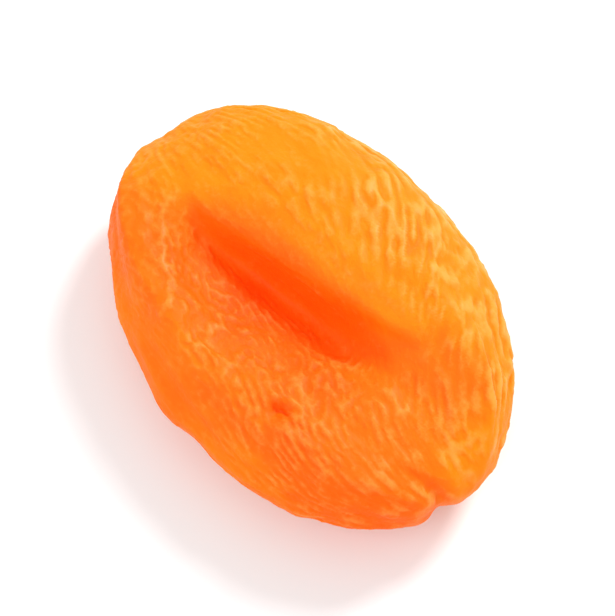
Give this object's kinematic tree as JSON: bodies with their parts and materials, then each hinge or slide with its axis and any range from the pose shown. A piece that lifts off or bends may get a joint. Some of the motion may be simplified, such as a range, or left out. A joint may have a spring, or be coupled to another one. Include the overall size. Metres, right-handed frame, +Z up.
{
  "type": "dried apricot",
  "caption": "Whole stoned dried apricot, pressed flat, with a deep fold under one cheek and fine wrinkles that draw together at both ends. It lies flat on a surface.",
  "frame": {"origin": "on the surface that the fruit lies on, under the middle of its length and width", "axes": "+X along the fruit from the stem end to the blossom end, +Y towards the higher cheek, +Z up out of the fold"},
  "size_m": [0.042, 0.03, 0.013],
  "materials": {
    "skin": "bright orange dried fruit skin, satin on the threads of its wrinkles, a little translucent, yellower on the higher cheek and redder in the fold"
  },
  "bodies": {
    "root": {"apricot": "skin"}
  },
  "joints": []
}
